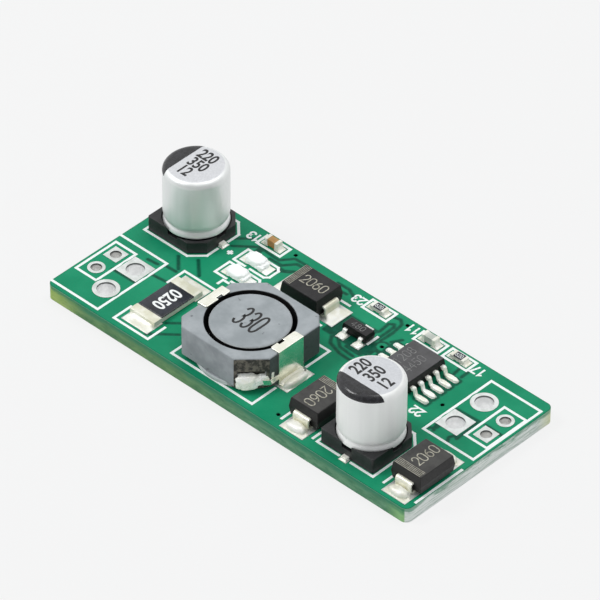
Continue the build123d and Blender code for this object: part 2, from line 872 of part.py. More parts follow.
def save_small_chips():
    block = ceramic_block()
    dipped = dipped_ends(small_length, small_width, ceramic_height, ceramic_skin, ceramic_cap)
    for name, place in ceramic_places.items():
        save(block.moved(seat(place)), name + "_ceramic_capacitor_block")
        save(dipped.moved(seat(place)), name + "_ceramic_capacitor_ends")
    core = chip_core(small_length, small_width, film_core, film_skin)
    ends = wrapped_ends(small_length, small_width, film_core, film_skin, film_cap)
    coat = coating(film_coating_length, small_width, film_core + film_skin, film_skin * 1.5)
    for name, place in film_places.items():
        save(core.moved(seat(place)), name + "_small_resistor_core")
        save(ends.moved(seat(place)), name + "_small_resistor_ends")
        save(coat.moved(seat(place)), name + "_small_resistor_coating")


os.makedirs("parts", exist_ok=True)
save(board.part, "circuit_board")
save(plated_rows(terminal_rows, terminal_pitch, terminal_pad, terminal_hole), "terminal_pads")
save(plated_rows(header_rows, header_pitch, header_pad, header_hole), "header_pads")
save(pads.part, "surface_pads")
save(legend.part, "legend_print")
save(all_solder(), "solder_joints")
save_capacitors()
save_coil()
save_diodes()
save_chip()
save_transistor()
save_sense_resistor()
save_lamps()
save_small_chips()
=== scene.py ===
import math

import bmesh
import bpy
import numpy as np
from mathutils import Matrix, Vector, noise


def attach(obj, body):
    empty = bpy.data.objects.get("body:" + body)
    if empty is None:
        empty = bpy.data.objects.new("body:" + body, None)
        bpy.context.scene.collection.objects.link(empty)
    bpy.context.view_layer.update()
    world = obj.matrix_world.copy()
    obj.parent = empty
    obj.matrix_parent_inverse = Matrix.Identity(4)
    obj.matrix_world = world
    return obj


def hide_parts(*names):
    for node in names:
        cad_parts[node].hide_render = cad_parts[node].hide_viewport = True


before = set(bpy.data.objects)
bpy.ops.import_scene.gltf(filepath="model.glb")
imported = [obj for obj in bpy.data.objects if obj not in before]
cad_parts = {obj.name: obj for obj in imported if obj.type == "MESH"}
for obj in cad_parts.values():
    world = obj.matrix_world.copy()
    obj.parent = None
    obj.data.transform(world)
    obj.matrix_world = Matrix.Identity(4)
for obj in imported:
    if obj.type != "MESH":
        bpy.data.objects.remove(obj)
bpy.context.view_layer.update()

mm = 0.001

# Sizes as in the CAD, in millimetres; the deck is the top of the pads
board_length, board_width, board_top, deck = 45.0, 19.4, 1.6, 1.65
terminal_pitch, terminal_hole = 3.81, 1.8
header_pitch, header_hole = 2.54, 1.1
via_hole = 0.38
lead_rows = (-2, -1, 0, 1, 2)


def placed(name, data):
    """A new object in the scene."""
    item = bpy.data.objects.new(name, data)
    bpy.context.scene.collection.objects.link(item)
    return item


# Camera at the photograph's viewing angle, with its place in metres
azimuth = math.radians(43.31)
elevation = math.radians(40.08)
roll = math.radians(0.44)
back = Vector((math.sin(azimuth) * math.cos(elevation), -math.cos(azimuth) * math.cos(elevation),
               math.sin(elevation)))
flat_right = Vector((math.cos(azimuth), math.sin(azimuth), 0))
flat_up = back.cross(flat_right)
right = math.cos(roll) * flat_right + math.sin(roll) * flat_up
up = math.cos(roll) * flat_up - math.sin(roll) * flat_right
aside, raised, away = 0.00022, 0.00401, 0.5775
stand = right * aside + up * raised + back * away + Vector((0, 0, board_top * mm))
camera = placed("camera", bpy.data.cameras.new("camera"))
camera.matrix_world = Matrix(((right.x, up.x, back.x, stand.x), (right.y, up.y, back.y, stand.y),
                              (right.z, up.z, back.z, stand.z), (0, 0, 0, 1)))
camera.data.lens = 382.5
camera.data.clip_start = 0.01
bpy.context.scene.camera = camera
bpy.context.scene.view_settings.view_transform = "Standard"


# Node helpers
def linear(*rgb):
    """Linear colour of 0-255 display values."""
    return tuple((c / 255 / 12.92 if c <= 10 else ((c / 255 + 0.055) / 1.055) ** 2.4) for c in rgb)


class Nodes:
    """Short names for building a node tree."""

    def __init__(self, tree):
        self.tree = tree

    def link(self, out, into):
        self.tree.links.new(out, into)

    def place(self, space="Object"):
        return self.tree.nodes.new("ShaderNodeTexCoord").outputs[space]

    def facing(self, kind="Normal"):
        return self.tree.nodes.new("ShaderNodeNewGeometry").outputs[kind]

    def against(self, operation, value, fixed):
        node = self.tree.nodes.new("ShaderNodeVectorMath")
        node.operation = operation
        self.link(value, node.inputs[0])
        node.inputs[1].default_value = fixed
        return node.outputs["Value"]

    def shaders(self, amount, a, b):
        node = self.tree.nodes.new("ShaderNodeMixShader")
        for socket, value in zip(node.inputs, (amount, a, b)):
            self.link(value, socket)
        return node.outputs[0]

    def scaled(self, vector, scale):
        node = self.tree.nodes.new("ShaderNodeMapping")
        self.link(vector, node.inputs["Vector"])
        node.inputs["Scale"].default_value = scale
        return node.outputs[0]

    def noise(self, vector, scale, detail=3.0, rough=0.55, distortion=0.0):
        node = self.tree.nodes.new("ShaderNodeTexNoise")
        self.link(vector, node.inputs["Vector"])
        numbers = {"Scale": scale, "Detail": detail, "Roughness": rough, "Distortion": distortion}
        for key, number in numbers.items():
            node.inputs[key].default_value = number
        return node.outputs["Fac"]

    def ramp(self, value, low, high, to_low=0.0, to_high=1.0):
        node = self.tree.nodes.new("ShaderNodeMapRange")
        node.interpolation_type = "SMOOTHSTEP"
        self.link(value, node.inputs["Value"])
        for key, number in (("From Min", low), ("From Max", high), ("To Min", to_low), ("To Max", to_high)):
            node.inputs[key].default_value = number
        return node.outputs["Result"]

    def math(self, operation, a, b=0.0):
        node = self.tree.nodes.new("ShaderNodeMath")
        node.operation = operation
        for socket, value in zip(node.inputs, (a, b)):
            if isinstance(value, (int, float)):
                socket.default_value = value
            else:
                self.link(value, socket)
        return node.outputs[0]

    def times(self, a, b):
        return self.math("MULTIPLY", a, b)

    def mix(self, amount, a, b):
        node = self.tree.nodes.new("ShaderNodeMix")
        node.data_type = "RGBA"
        for socket, value in ((node.inputs[0], amount), (node.inputs[6], a), (node.inputs[7], b)):
            if isinstance(value, (int, float)):
                socket.default_value = value
            elif isinstance(value, tuple):
                socket.default_value = (*value, 1)
            else:
                self.link(value, socket)
        return node.outputs[2]

    def axis(self, vector, name):
        node = self.tree.nodes.new("ShaderNodeSeparateXYZ")
        self.link(vector, node.inputs[0])
        return node.outputs[name]

    def bump(self, height, distance):
        node = self.tree.nodes.new("ShaderNodeBump")
        self.link(height, node.inputs["Height"])
        node.inputs["Distance"].default_value = distance
        return node.outputs[0]


class Finish(Nodes):
    """A new material and its nodes; the options are sockets of its shader."""

    def __init__(self, name, metallic=0.0, **sockets):
        self.made = bpy.data.materials.new(name)
        self.made.use_nodes = True
        super().__init__(self.made.node_tree)
        self.shader = self.tree.nodes["Principled BSDF"]
        self.shader.inputs["Metallic"].default_value = metallic
        for key, value in sockets.items():
            self.shader.inputs[key.replace("_", " ")].default_value = value

    def dressed(self, colour, rough, relief, height):
        """The material with its colour, its roughness and a bump whose height is in millimetres."""
        self.link(colour, self.shader.inputs["Base Color"])
        self.link(rough, self.shader.inputs["Roughness"])
        self.link(self.bump(relief, height * mm), self.shader.inputs["Normal"])
        return self.made


def grained(name, light, dark, rough, scale, height, spots=900.0, **sockets):
    """Finish with two tones in soft patches, a fine grain in the bump and a roughness that follows it."""
    n = Finish(name, **sockets)
    at = n.place()
    patches = n.ramp(n.noise(at, spots, 4.0, 0.6), 0.32, 0.7)
    grain = n.noise(at, scale, 3.0, 0.6)
    colour = n.mix(patches, linear(*dark), linear(*light))
    return n.dressed(colour, n.ramp(grain, 0.3, 0.75, *rough), grain, height)


# Mesh helpers: a shape is a list of points in millimetres and a list of faces
def moved(shape, x, y, z, turn=0.0):
    """The shape turned about Z, in degrees, and set down at x, y, z."""
    points, faces = shape
    matrix = Matrix.Translation((x, y, z)) @ Matrix.Rotation(math.radians(turn), 4, "Z")
    return [matrix @ Vector(p) for p in points], faces


def joined(shapes):
    points, faces = [], []
    for more_points, more_faces in shapes:
        start = len(points)
        points += list(more_points)
        faces += [[start + i for i in face] for face in more_faces]
    return points, faces


def finished(name, mesh, look, replaces, smooth):
    """The mesh becomes one piece of the part; edges flatter than smooth degrees look smooth."""
    mesh.materials.append(looks[look])
    if smooth:
        mesh.shade_smooth()
        mesh.set_sharp_from_angle(angle=math.radians(smooth))
    item = placed(name, mesh)
    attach(item, "root")
    if replaces:
        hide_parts(*replaces)


def piece(name, shapes, look, replaces=(), smooth=30):
    """One piece of the part from shapes in millimetres."""
    points, faces = joined(shapes)
    mesh = bpy.data.meshes.new(name)
    mesh.from_pydata([Vector(p) * mm for p in points], [], faces)
    mesh.update()
    work = bmesh.new()
    work.from_mesh(mesh)
    bmesh.ops.recalc_face_normals(work, faces=work.faces)
    work.to_mesh(mesh)
    work.free()
    finished(name, mesh, look, replaces, smooth)


def grid_faces(rows, columns, wrap=False):
    """Quads of a grid of points stored row by row; wrap joins the last column to the first."""
    faces = []
    for r in range(rows - 1):
        for c in range(columns if wrap else columns - 1):
            d = (c + 1) % columns
            faces.append([r * columns + c, r * columns + d, (r + 1) * columns + d, (r + 1) * columns + c])
    return faces


def tube(points, columns):
    """Solid of rings of points, stored ring by ring, with a flat face at each end."""
    faces = grid_faces(len(points) // columns, columns, wrap=True)
    return points, faces + [list(range(columns)), list(range(len(points) - columns, len(points)))]


def closed_sheet(upper, lower, rows, columns):
    """Solid between two grids of points, with a wall round their edge."""
    faces = grid_faces(rows, columns)
    n = len(upper)
    under = [[n + i for i in reversed(f)] for f in faces]
    rim = (list(range(columns)) + [r * columns + columns - 1 for r in range(1, rows)]
           + [(rows - 1) * columns + c for c in range(columns - 2, -1, -1)]
           + [r * columns for r in range(rows - 2, 0, -1)])
    walls = [[rim[i - 1], rim[i], n + rim[i], n + rim[i - 1]] for i in range(len(rim))]
    return upper + lower, faces + under + walls


def lathe(profile):
    """Turned solid; the profile runs from the axis to the axis as (radius, height) points."""
    steps = 96
    points = [(0, 0, profile[0][1])]
    for r, z in profile[1:-1]:
        points += [(r * math.cos(2 * math.pi * i / steps), r * math.sin(2 * math.pi * i / steps), z)
                   for i in range(steps)]
    points.append((0, 0, profile[-1][1]))
    inner = [[1 + i for i in face] for face in grid_faces(len(profile) - 2, steps, wrap=True)]
    last = len(points) - 1
    caps = [[0, 1 + (i + 1) % steps, 1 + i] for i in range(steps)]
    foot = last - steps
    caps += [[last, foot + i, foot + (i + 1) % steps] for i in range(steps)]
    return points, inner + caps


def rounded(path, radius):
    """The path with soft bends in place of the corners between its ends."""
    steps = 5
    out = [Vector(path[0])]
    for before, corner, after in zip(path, path[1:], path[2:]):
        a, c, b = Vector(before), Vector(corner), Vector(after)
        u, v = a - c, b - c
        half = u.angle(v) / 2
        reach = min(radius / math.tan(half), 0.49 * u.length, 0.49 * v.length)
        start, end = c + u.normalized() * reach, c + v.normalized() * reach
        for i in range(steps + 1):
            t = i / steps
            out.append((1 - t) ** 2 * start + 2 * t * (1 - t) * c + t * t * end)
    out.append(Vector(path[-1]))
    return out


def strip(path, width, thickness, radius, edge):
    """Sheet-metal strip: the path is in the XZ plane, the width along Y, with softened long edges."""
    line = rounded(path, radius)
    rows = []
    y, t = width / 2, thickness / 2
    section = [(-y, -t + edge), (-y, t - edge), (-y + edge, t), (y - edge, t),
               (y, t - edge), (y, -t + edge), (y - edge, -t), (-y + edge, -t)]
    for i, at in enumerate(line):
        a, b = line[max(i - 1, 0)], line[min(i + 1, len(line) - 1)]
        along = (b - a).normalized()
        normal = Vector((-along.y, along.x))
        rows += [(at.x + normal.x * h, s, at.y + normal.y * h) for s, h in section]
    return tube(rows, len(section))


def outline_prism(outline, low, high, rim, steps):
    """Solid over an anticlockwise outline, with its top edge rounded by rim."""
    levels = [(low, 0.0), (high - rim, 0.0)]
    for i in range(1, steps + 1):
        turn = math.pi / 2 * i / steps
        levels.append((high - rim + rim * math.sin(turn), rim * (1 - math.cos(turn))))
    points = []
    n = len(outline)
    for z, shrink in levels:
        for i in range(n):
            before, at, after = Vector(outline[i - 1]), Vector(outline[i]), Vector(outline[(i + 1) % n])
            e1, e2 = (at - before).normalized(), (after - at).normalized()
            n1, n2 = Vector((-e1.y, e1.x)), Vector((-e2.y, e2.x))
            bisector = (n1 + n2).normalized()
            reach = shrink / max(bisector.dot(n1), 0.2)
            p = at + bisector * reach
            points.append((p.x, p.y, z))
    return tube(points, n)


def round_rect(width, length, radius):
    """Outline of a rectangle with rounded corners, anticlockwise."""
    points = []
    for k, (sx, sy) in enumerate(((1, 1), (-1, 1), (-1, -1), (1, -1))):
        cx, cy = sx * (width / 2 - radius), sy * (length / 2 - radius)
        points += arc(cx, cy, radius, radius, 90 * k, 90 * k + 90, 5)
    return points


def blob(centre, size, power, rough, seed, low, rings=16, steps=28):
    """Rounded lump, cut flat at low; power 2 is a ball, more is boxier. rough is a share of the size."""
    points = []
    shift = Vector((seed * 3.1, seed * 1.7, seed * 2.3))

    def squared(v):
        return math.copysign(abs(v) ** (2 / power), v)

    for r in range(rings + 1):
        lat = math.pi * (r / rings - 0.5)
        for c in range(steps):
            lon = 2 * math.pi * c / steps
            d = Vector((squared(math.cos(lat)) * squared(math.cos(lon)),
                        squared(math.cos(lat)) * squared(math.sin(lon)), squared(math.sin(lat))))
            swell = 1 + rough * noise.noise(d * 1.6 + shift) + rough * 0.5 * noise.noise(d * 3.7 + shift)
            p = Vector((d.x * size[0], d.y * size[1], d.z * size[2])) * swell / 2 + Vector(centre)
            if low is not None and p.z < low:
                p.z = low
            points.append(p)
    return tube(points, steps)


def bar(path, width, low, high, closed=False):
    """Flat line of a printed or engraved stroke, with its top edges let down a little."""
    line = [Vector(p) for p in path]
    n = len(line)
    points = []
    half, ease, edge = width / 2, width * 0.12, high - (high - low) * 0.4
    for i, at in enumerate(line):
        before = line[i - 1] if i or closed else None
        after = line[(i + 1) % n] if i < n - 1 or closed else None
        u = (at - before).normalized() if before is not None else (after - at).normalized()
        v = (after - at).normalized() if after is not None else u
        n1, n2 = Vector((-u.y, u.x)), Vector((-v.y, v.x))
        side = n1 + n2
        side = side.normalized() if side.length > 0.2 else n1
        reach = half / max(side.dot(n1), 0.5)
        push = Vector((0, 0))
        if not closed and i == 0:
            push = -u * half
        if not closed and i == n - 1:
            push = u * half
        at = at + push
        section = ((-reach, low), (-reach, edge), (-reach + ease, high),
                   (reach - ease, high), (reach, edge), (reach, low))
        for offset, z in section:
            p = at + side * offset
            points.append((p.x, p.y, z))
    if not closed:
        return tube(points, len(section))
    return points, [[i % len(points) for i in face] for face in grid_faces(n + 1, len(section), wrap=True)]


def arc(cx, cy, rx, ry, start, end, steps=10):
    """Points along an ellipse, from one angle to another in degrees."""
    turns = [math.radians(start + (end - start) * i / steps) for i in range(steps + 1)]
    return [(cx + rx * math.cos(t), cy + ry * math.sin(t)) for t in turns]


# Plain digits 0 to 8 as strokes in a box glyph_width wide and 1 high
glyph_width = 0.6
digit_strokes = {
    "0": [(arc(0.3, 0.7, 0.3, 0.3, 0, 180) + arc(0.3, 0.3, 0.3, 0.3, 180, 360), True)],
    "1": [([(0.12, 0.78), (0.36, 1.0), (0.36, 0.0)], False)],
    "2": [(arc(0.3, 0.7, 0.28, 0.3, 165, -35) + [(0.02, 0.0), (0.6, 0.0)], False)],
    "3": [(arc(0.28, 0.74, 0.28, 0.26, 150, -80) + arc(0.28, 0.26, 0.3, 0.27, 80, -150), False)],
    "4": [([(0.6, 0.3), (0.0, 0.3), (0.42, 1.0), (0.42, 0.0)], False)],
    "5": [([(0.55, 1.0), (0.1, 1.0), (0.05, 0.55)] + arc(0.28, 0.32, 0.3, 0.32, 120, -150), False)],
    "6": [(arc(0.3, 0.3, 0.28, 0.3, 0, 360, 16), True), (arc(0.72, 0.32, 0.7, 0.66, 175, 115, 8), False)],
    "7": [([(0.0, 1.0), (0.58, 1.0), (0.2, 0.0)], False)],
    "8": [(arc(0.3, 0.75, 0.24, 0.25, 0, 360, 16), True), (arc(0.3, 0.26, 0.29, 0.26, 0, 360, 16), True)],
}


def digits(text, height, width, line, low, high, x, y, turn, pitch):
    """A number of stroke digits, centred at x, y; width is one digit's and turn the baseline's direction."""
    shapes = []
    same = 1e-4
    step = width * pitch
    start = -(step * (len(text) - 1) + width) / 2
    for k, glyph in enumerate(text):
        for path, closed in digit_strokes[glyph]:
            points = [(start + k * step + px * width / glyph_width, (py - 0.5) * height) for px, py in path]
            if closed:
                points = [p for i, p in enumerate(points[:-1]) if not i or math.dist(p, points[i - 1]) > same]
            shapes.append(moved(bar(points, line, low, high, closed), x, y, 0, turn))
    return joined(shapes)


def soften(name, look, width=0):
    """The CAD node keeps its mesh and gets its finish; a width rounds its edges by modifiers."""
    segments, sharp, flat, close = 2, 25, 2, 1e-7
    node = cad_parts[name]
    if not node.data.materials:
        node.data.materials.append(looks[look])
    for s in node.material_slots:
        s.material = looks[look]
    if width:
        weld = node.modifiers.new("weld", "WELD")
        weld.merge_threshold = close
        plane = node.modifiers.new("flat", "DECIMATE")
        plane.decimate_type = "DISSOLVE"
        plane.angle_limit = math.radians(flat)
        edge = node.modifiers.new("edge", "BEVEL")
        edge.width = width * mm
        edge.segments = segments
        edge.limit_method = "ANGLE"
        edge.angle_limit = math.radians(sharp)
        edge.harden_normals = True


# Places as in the CAD
def on_board(along, across, turn=0):
    """A place in millimetres from shares of the board's length and width, with a turn in degrees."""
    return (along - 0.5) * board_length, (across - 0.5) * board_width, turn


terminal_pads = [on_board(0.100, 0.263), on_board(0.891, 0.701)]
header_pads = [on_board(0.038, 0.309), on_board(0.959, 0.704)]
via_points = [on_board(0.304, 0.964), on_board(0.628, 0.760), on_board(0.836, 0.652),
              on_board(0.621, 0.077), on_board(0.620, 0.956)]
can_places = {"input": on_board(0.099, 0.778, 0), "output": on_board(0.808, 0.239, 90)}
coil_at = on_board(0.449, 0.306)
resistor_at = on_board(0.224, 0.277)
diode_at = {"first": on_board(0.427, 0.772, 0), "second": on_board(0.677, 0.222, -90),
            "third": on_board(0.953, 0.225, -90)}
chip_at = on_board(0.726, 0.713)
transistor_at = on_board(0.569, 0.745)
lamp_at = {"upper": on_board(0.268, 0.789), "lower": on_board(0.268, 0.662)}
ceramic_at = {"left": on_board(0.251, 0.941), "right": on_board(0.689, 0.941)}
film_at = {"left": on_board(0.547, 0.943), "right": on_board(0.767, 0.943)}


# Finishes
can_foot = 1.22


def mask_finish():
    """Glossy green resist: brighter over copper, darker where it lies on bare laminate."""
    n = Finish("green_mask", Specular_IOR_Level=0.12)
    at = n.place()
    level = n.tree.nodes.new("ShaderNodeAttribute")
    level.attribute_name = "copper"
    cloud = n.ramp(n.noise(at, 160.0, 3.0, 0.6), 0.3, 0.75)
    on_copper = n.mix(cloud, linear(18, 140, 100), linear(36, 156, 114))
    fine = n.ramp(n.noise(at, 2500.0, 2.0, 0.6), 0.3, 0.8)
    bare = n.mix(fine, linear(10, 80, 60), linear(20, 100, 76))
    colour = n.mix(level.outputs["Fac"], bare, on_copper)
    return n.dressed(colour, n.ramp(fine, 0.0, 1.0, 0.32, 0.46), fine, 0.004)


def laminate_finish():
    """Glass laminate: pale fibre in greenish resin at the edge, green flat faces, painted shade in the holes.
    """
    n = Finish("laminate", Specular_IOR_Level=0.2)
    at = n.place()
    facing = n.facing()
    side = n.math("ABSOLUTE", n.axis(facing, "X"))
    flat = n.ramp(n.math("ABSOLUTE", n.axis(facing, "Z")), 0.6, 0.8)
    along = n.axis(at, "X")
    mottle = n.ramp(n.noise(n.scaled(at, (520, 520, 1500)), 1.0, 4.0, 0.65), 0.3, 0.72)
    fibre = n.noise(n.scaled(at, (420, 420, 6400)), 1.0, 4.0, 0.6, 0.3)
    olive = n.mix(mottle, linear(84, 130, 90), linear(122, 160, 108))
    lime = n.mix(mottle, linear(150, 180, 92), linear(190, 206, 128))
    front = n.mix(n.ramp(along, -0.0226, -0.0168), lime, olive)
    height = n.axis(at, "Z")
    teal = n.mix(mottle, linear(72, 132, 102), linear(116, 166, 136))
    front = n.mix(n.ramp(along, -0.008, 0.006, 0.0, 0.75), front, teal)
    front = n.mix(n.ramp(along, 0.0196, 0.0222, 0.0, 0.7), front, linear(164, 214, 140))
    spill = n.math("ADD", height, n.ramp(mottle, 0.0, 1.0, -0.00022, 0.00022))
    green_rim = n.ramp(spill, 0.00078, 0.00148)
    front = n.mix(n.times(green_rim, 0.8), front, linear(34, 124, 94))
    pale = n.mix(n.ramp(fibre, 0.36, 0.56), linear(198, 211, 200), linear(242, 246, 241))
    cracks = n.ramp(n.noise(n.scaled(at, (1300, 1300, 5200)), 1.0, 2.0, 0.5), 0.27, 0.31)
    pale = n.mix(cracks, linear(112, 132, 118), pale)
    pale = n.mix(n.ramp(n.axis(at, "Y"), 0.0072, 0.0096, 0.0, 0.7), pale, linear(218, 222, 160))
    pale = n.mix(n.times(n.ramp(spill, 0.00105, 0.00150), 0.75), pale, linear(74, 146, 112))
    edge = n.mix(n.ramp(side, 0.4, 0.6), front, pale)
    # Painted shade: the laminate's faces inside the holes are painted near black, and the light band at the
    # top edge is kept out of them.
    in_shaded_holes = n.times(n.ramp(n.math("ABSOLUTE", along), 0.02215, 0.0222, 1.0, 0.0),
                    n.ramp(n.math("ABSOLUTE", n.axis(at, "Y")), 0.00935, 0.0094, 1.0, 0.0))
    edge = n.mix(in_shaded_holes, edge, linear(10, 13, 12))
    rim = n.ramp(height, 0.00154, 0.00158)
    rim = n.times(rim, n.math("SUBTRACT", 0.55, n.times(in_shaded_holes, 0.55)))
    edge = n.mix(rim, edge, linear(170, 214, 190))
    colour = n.mix(flat, edge, linear(16, 122, 86))
    return n.dressed(colour, n.ramp(fibre, 0.3, 0.7, 0.55, 0.8), fibre, 0.02)


def can_finish(name, metallic, light):
    """Satin aluminium with very faint drawing lines down it, a duller top and a painted-shade dark foot."""
    n = Finish(name, metallic)
    at = n.place()
    top = n.ramp(n.axis(n.facing(), "Z"), 0.93, 0.995)
    lines = n.noise(n.scaled(at, (1500, 1500, 60)), 1.0, 2.0, 0.5)
    specks = n.noise(at, 6500.0, 3.0, 0.65)
    body = n.mix(n.ramp(lines, 0.3, 0.7), linear(*[c - 5 for c in light]), linear(*light))
    # Painted shade: below the foot height the can is painted near black, where the recess under the curled
    # bead lies in shade.
    foot, blur = deck + can_foot, 0.03
    above_painted_shade = n.ramp(n.axis(at, "Z"), (foot - blur) * mm, (foot + blur) * mm)
    body = n.mix(above_painted_shade, linear(14, 14, 15), body)
    lid = n.mix(n.ramp(specks, 0.35, 0.7), linear(210, 211, 214), linear(222, 223, 226))
    return n.dressed(n.mix(top, body, lid), n.ramp(lines, 0.3, 0.7, 0.42, 0.48), specks, 0.002)


def ferrite_finish(name, rim):
    """Matte grey ferrite, dark pits, burnt cut corners; painted shade on +X faces and black in the bore."""
    n = Finish(name, Specular_IOR_Level=0.3)
    at = n.place()
    patch = n.ramp(n.noise(at, 420.0, 4.0, 0.6), 0.3, 0.72)
    grain = n.noise(at, 3600.0, 3.0, 0.65)
    pits = n.ramp(n.noise(at, 1500.0, 1.0, 0.4), 0.70, 0.76)
    facing = n.facing("True Normal")
    nx, ny, nz = (n.axis(facing, name) for name in "XYZ")
    level = n.ramp(nz, 0.5, 0.9)
    base = n.mix(patch, linear(*[c - 26 for c in rim]), linear(*rim))
    base = n.mix(level, base, n.mix(patch, linear(154, 160, 163), linear(178, 183, 186)))
    base = n.mix(n.times(pits, 0.55), base, linear(84, 84, 86))
    # Painted shade and dark reflection: faces that point to +X are painted dark.
    right_side_shade = n.ramp(nx, 0.75, 0.95)
    base = n.mix(n.times(right_side_shade, 0.8), base, linear(44, 52, 50))
    corner = n.ramp(n.times(n.times(nx, ny), -1.0), 0.3, 0.42)
    blot = n.ramp(n.noise(at, 1700.0, 4.0, 0.7), 0.42, 0.6)
    burnt = n.mix(blot, linear(46, 42, 36), linear(112, 106, 94))
    base = n.mix(n.times(corner, 0.95), base, burnt)
    # Painted shade: upright faces inside the bore are painted near black, the shadow gap between shield and
    # core.
    from_axis = n.against("DISTANCE", n.scaled(at, (1, 1, 0)), (coil_at[0] * mm, coil_at[1] * mm, 0))
    upright = n.math("SUBTRACT", 1.0, n.ramp(nz, 0.2, 0.5))
    inside = n.math("SUBTRACT", 1.0, n.ramp(from_axis, 0.00428, 0.00432))
    base = n.mix(n.times(upright, inside), base, linear(16, 15, 16))
    relief = n.math("SUBTRACT", grain, n.times(pits, 2.0))
    return n.dressed(base, n.ramp(grain, 0.3, 0.7, 0.5, 0.68), relief, 0.008)


def solder_finish(name, metallic, bright, warm, rough, wrinkle_height=0.002, painted_glow=0.0):
    """Solder and tinned metal: silver and cream with faint wrinkles; the glow is painted light, an emission
    of its own.
    """
    # Painted light: the emission strength makes the metal glow a little.
    n = Finish(name, metallic, Emission_Color=(1, 1, 0.97, 1), Emission_Strength=painted_glow)
    at = n.place()
    patch = n.ramp(n.noise(at, 800.0, 3.0, 0.6), 0.35, 0.68)
    wrinkle = n.noise(at, 1100.0, 2.0, 0.5, 0.6)
    colour = n.mix(patch, linear(*warm), linear(*bright))
    return n.dressed(colour, n.ramp(wrinkle, 0.3, 0.7, *rough), wrinkle, wrinkle_height)


def plating_finish(name, deep, wide):
    """Tinned copper: satin silver on top, more metallic in the holes, painted shade as a dark ring under the
    edge.
    """
    rim_shade_level = 0.00155
    n = Finish(name)
    at = n.place()
    wall = n.math("SUBTRACT", 1.0, n.ramp(n.math("ABSOLUTE", n.axis(n.facing(), "Z")), 0.3, 0.6))
    n.link(n.ramp(wall, 0.0, 1.0, 0.5, 0.95), n.shader.inputs["Metallic"])
    patch = n.ramp(n.noise(at, 1100.0, 3.0, 0.6), 0.35, 0.68)
    grain = n.noise(at, 4200.0, 3.0, 0.6)
    face = n.mix(patch, linear(212, 216, 212), linear(232, 235, 233))
    ragged = n.math("ADD", n.axis(at, "Z"), n.times(grain, wide * 0.4))
    # Painted shade: the hole wall just under the rim is painted as a dark ring.
    down = n.ramp(ragged, rim_shade_level + wide * 0.2, rim_shade_level - wide)
    inside = n.mix(down, linear(92, 96, 96), n.mix(patch, linear(*[c - 18 for c in deep]), linear(*deep)))
    colour = n.mix(wall, face, inside)
    return n.dressed(colour, n.ramp(grain, 0.3, 0.7, 0.38, 0.5), grain, 0.004)


def moulded_finish(name, top_light, top_dark, side):
    """Moulded plastic, lighter grey on upward faces and nearly black on its sides."""
    n = Finish(name, Specular_IOR_Level=0.3)
    at = n.place()
    level = n.ramp(n.axis(n.facing(), "Z"), 0.55, 0.95)
    patches = n.ramp(n.noise(at, 650.0, 4.0, 0.6), 0.32, 0.7)
    grain = n.noise(at, 3800.0, 3.0, 0.6)
    top = n.mix(patches, linear(*top_dark), linear(*top_light))
    colour = n.mix(level, linear(*side), top)
    return n.dressed(colour, n.ramp(grain, 0.3, 0.75, 0.42, 0.56), grain, 0.010)


